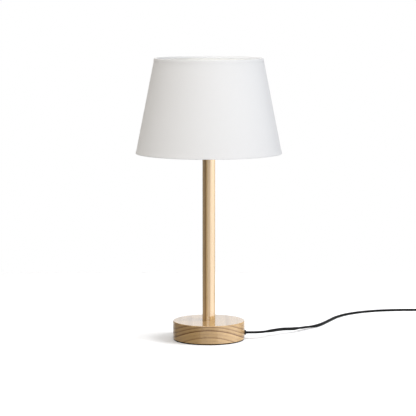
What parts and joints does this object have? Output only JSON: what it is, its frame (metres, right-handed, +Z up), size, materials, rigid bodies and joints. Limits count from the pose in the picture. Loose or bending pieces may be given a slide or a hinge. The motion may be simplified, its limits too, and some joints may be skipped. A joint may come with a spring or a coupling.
{
  "type": "table lamp",
  "caption": "Table lamp with a turned ash base and column, a tapered white fabric shade on an E27 holder, and a black cord with a rocker switch and a flat plug",
  "frame": {"origin": "middle of the underside of the base, on the floor", "axes": "+Z up along the column, +X the side on which the cord leaves the base, -Y the front that the picture shows"},
  "size_m": [0.595, 0.4203, 0.4831],
  "materials": {
    "ash": "clear lacquer, satin",
    "felt": "felt",
    "iron": "painted",
    "zinc": "zinc plated",
    "brass": "bare",
    "black_rubber": "matt",
    "black_plastic": "fine matt",
    "white_plastic": "satin",
    "cord_cover": "satin PVC",
    "core_brown": "PVC",
    "shade_fabric": "plain weave",
    "shade_lining": "satin",
    "white_wire": "powder coat",
    "nickel": "nickel plated",
    "black_glass": "polished",
    "milky_globe": "opal",
    "board": "solder mask",
    "led": "phosphor"
  },
  "bodies": {
    "stand": {"base_pad": "felt", "base_disc": "ash", "base_ballast": "iron", "ballast_screws": "zinc", "rod_washer": "zinc", "rod_nut": "zinc", "threaded_tube": "zinc", "column": "ash", "cord_bushing": "black_rubber", "cord_clamp_block": "black_plastic", "cord_clamp_bar": "black_plastic", "cord_clamp_screws": "zinc", "cord_inner": "cord_cover", "core_wires": "core_brown", "holder_cap": "white_plastic", "holder_grub_screw": "zinc", "holder_skirt": "white_plastic", "holder_insert": "white_plastic", "holder_terminals": "brass", "terminal_screws": "zinc", "holder_shell": "nickel", "centre_contact": "brass", "switch_bottom": "black_plastic", "switch_top": "black_plastic", "switch_terminals": "brass", "switch_cores": "core_brown", "switch_screws": "zinc", "plug_body": "black_plastic", "plug_pins": "nickel", "plug_sleeves": "black_plastic", "cord_run": "cord_cover", "cord_link": "cord_cover", "cord_coil": "cord_cover", "cord_tail": "cord_cover", "coil_tie": "black_plastic"},
    "shade": {"shade_cover": "shade_fabric", "shade_liner": "shade_lining", "bottom_wire_ring": "white_wire", "bottom_trim": "shade_fabric", "top_wire_ring": "white_wire", "top_trim": "shade_fabric", "carrier_hub": "white_wire", "carrier_arms": "white_wire"},
    "shade_ring": {"shade_clamp_ring": "white_plastic"},
    "bulb_lift": {"bulb_tip": "brass", "bulb_insulator": "black_glass"},
    "bulb": {"bulb_cap": "nickel", "bulb_housing": "white_plastic", "bulb_globe": "milky_globe", "led_board": "board", "leds": "led", "driver_board": "board"},
    "switch_rocker": {"switch_rocker": "black_plastic", "switch_contact": "brass"}
  },
  "joints": [
    {"name": "shade_turn", "type": "hinge", "parent": "stand", "child": "shade", "pos_m": [0, 0, 0.3611], "axis": [0, 0, 1], "continuous": true},
    {"name": "shade_ring_turn", "type": "hinge", "parent": "stand", "child": "shade_ring", "pos_m": [0, 0, 0.3624], "axis": [0, 0, 1], "range_deg": [0, 720]},
    {"name": "bulb_lift", "type": "slide", "parent": "stand", "child": "bulb_lift", "axis": [0, 0, 1], "range_m": [0, 0.01089]},
    {"name": "bulb_turn", "type": "hinge", "parent": "bulb_lift", "child": "bulb", "pos_m": [0, 0, 0.363], "axis": [0, 0, 1], "range_deg": [0, 1080]},
    {"name": "switch_rocker_tilt", "type": "hinge", "parent": "stand", "child": "switch_rocker", "pos_m": [0.457, 0.197, 0.01555], "axis": [1, 0, 0], "range_deg": [0, 16]}
  ],
  "couplings": [
    {"joint": "bulb_turn", "follows": "bulb_lift", "rad_per_m": 1730.9}
  ]
}
